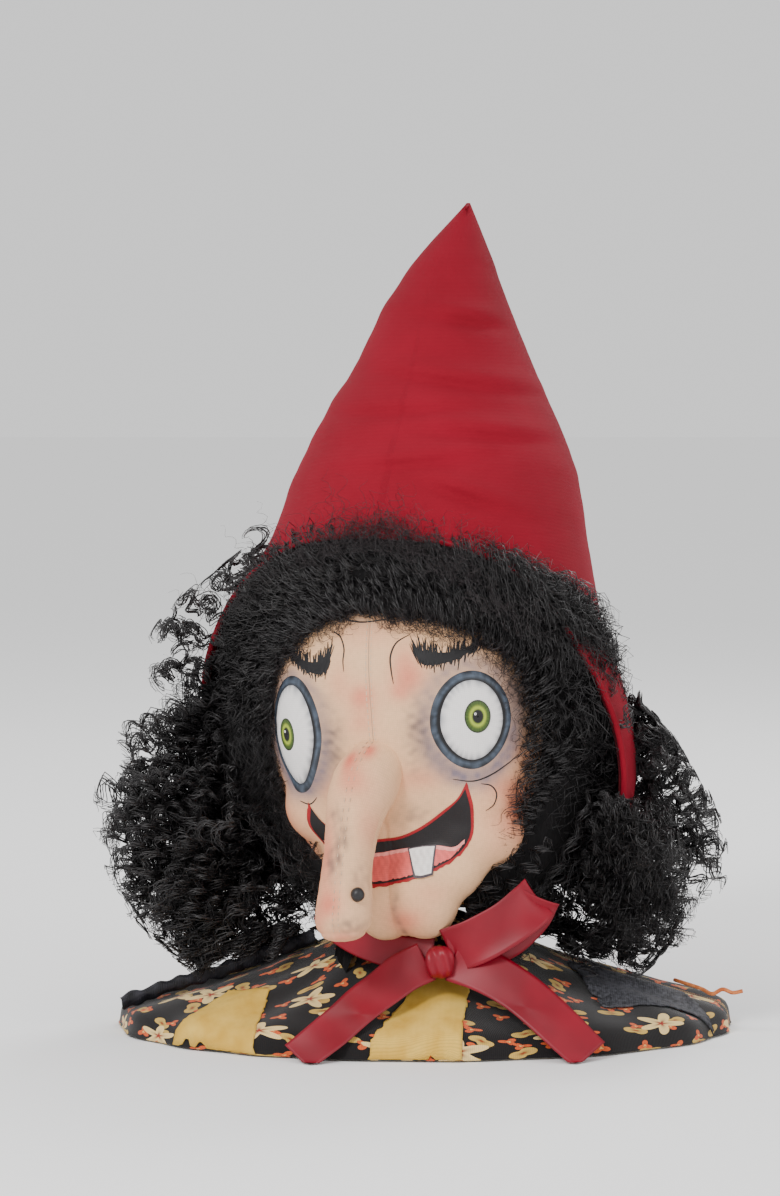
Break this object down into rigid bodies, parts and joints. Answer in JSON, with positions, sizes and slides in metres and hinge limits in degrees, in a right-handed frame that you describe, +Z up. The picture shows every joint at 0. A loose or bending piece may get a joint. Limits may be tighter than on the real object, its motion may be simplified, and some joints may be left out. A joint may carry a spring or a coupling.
{
  "type": "animated witch figure",
  "caption": "Stuffed cloth witch head and shoulders with a pointed red hood, frizzy hair and a ribbon bow; the head turns and nods on a motorised base.",
  "frame": {"origin": "middle of the underside of the base pad", "axes": "+Z up along the neck's turning axis, the shoulders face -Y, +X to a viewer's right"},
  "size_m": [0.386, 0.2691, 0.49],
  "materials": {
    "felt": "matt felt",
    "black_plastic": "moulded ABS, fine texture",
    "grey_plastic": "moulded acetal",
    "white_nylon": "natural nylon",
    "steel": "zinc plated steel",
    "motor_steel": "drawn steel can",
    "battery_wrap": "printed sleeve, plain",
    "board_green": "solder mask",
    "speaker_black": "paper cone and frame",
    "wire_red": "PVC sleeve",
    "fibrefill": "polyester fibrefill",
    "face_cloth": "painted cotton, matt with blush",
    "eye_paint": "painted cotton disc, satin",
    "mole_black": "painted bead",
    "hair_black": "crimped synthetic hair",
    "hood_red": "crimson cotton, plain weave",
    "lining_maroon": "dark red lining",
    "satin_red": "satin ribbon",
    "dress_floral": "black cotton with cream and orange flowers",
    "patch_yellow": "old gold velveteen",
    "mesh_black": "black lurex mesh",
    "trim_orange": "orange brown cord",
    "trim_black": "ruffled black braid",
    "neck_cloth": "black cotton"
  },
  "bodies": {
    "base": {"base_pad": "felt", "base_plate": "black_plastic", "base_cover": "black_plastic", "cover_screws": "steel", "ballast_plate": "steel", "battery_case": "black_plastic", "batteries": "battery_wrap", "battery_contacts": "steel", "door_pin": "steel", "circuit_board": "board_green", "speaker": "speaker_black", "switch_body": "black_plastic", "limit_switches": "black_plastic", "turn_gearbox": "grey_plastic", "turn_motor": "motor_steel", "lower_bush": "white_nylon", "upper_bush": "white_nylon", "wires": "wire_red", "shoulder_pad": "fibrefill", "capelet": "dress_floral", "chest_panel": "patch_yellow", "shoulder_panel": "patch_yellow", "cape_flap": "mesh_black", "flap_trim": "trim_orange", "shoulder_trim": "trim_black"},
    "battery_door": {"battery_door": "black_plastic"},
    "power_switch": {"power_switch": "black_plastic"},
    "turn_pinion": {"turn_pinion": "white_nylon"},
    "neck": {"neck_tube": "steel", "neck_collar": "steel", "turn_gear": "white_nylon", "nod_yoke": "steel", "nod_pin": "steel", "pin_clip": "steel", "nod_gearbox": "grey_plastic", "nod_motor": "motor_steel", "neck_wrap": "neck_cloth", "ribbon_band": "satin_red", "bow_knot": "satin_red", "bow_loop": "satin_red", "ribbon_tail_left": "satin_red", "ribbon_tail_right": "satin_red"},
    "nod_pinion": {"nod_pinion": "white_nylon"},
    "head": {"head_frame": "grey_plastic", "nod_gear": "white_nylon", "head_stuffing": "fibrefill", "face_panel_left": "face_cloth", "face_panel_right": "face_cloth", "head_back": "face_cloth", "left_eye": "eye_paint", "right_eye": "eye_paint", "chin": "face_cloth", "nose": "face_cloth", "mole": "mole_black", "hood": "hood_red", "hood_lining": "lining_maroon", "hair_wig": "hair_black", "hair_left": "hair_black", "hair_right": "hair_black", "hair_back": "hair_black"}
  },
  "joints": [
    {"name": "head_turn", "type": "hinge", "parent": "base", "child": "neck", "pos_m": [0, 0, 0.062], "axis": [0, 0, 1], "range_deg": [-10, 50], "deforming": ["ribbon_tail_left", "ribbon_tail_right"]},
    {"name": "head_nod", "type": "hinge", "parent": "neck", "child": "head", "pos_m": [0, 0, 0.12], "axis": [0.9397, -0.342, 0], "range_deg": [-8, 3]},
    {"name": "turn_pinion_spin", "type": "hinge", "parent": "base", "child": "turn_pinion", "pos_m": [0.0325, 0, 0.02], "axis": [0, 0, 1], "range_deg": [-170, 40]},
    {"name": "nod_pinion_spin", "type": "hinge", "parent": "neck", "child": "nod_pinion", "pos_m": [0.00684, 0.01879, 0.12], "axis": [0.9397, -0.342, 0], "range_deg": [-15, 30]},
    {"name": "power_switch_slide", "type": "slide", "parent": "base", "child": "power_switch", "axis": [1, 0, 0], "range_m": [0, 0.005]},
    {"name": "battery_door_hinge", "type": "hinge", "parent": "base", "child": "battery_door", "pos_m": [-0.052, 0.034, 0.0043], "axis": [1, 0, 0], "range_deg": [0, 75]}
  ],
  "couplings": [
    {"joint": "turn_pinion_spin", "follows": "head_turn", "ratio": -3.3333},
    {"joint": "nod_pinion_spin", "follows": "head_nod", "ratio": -3}
  ]
}
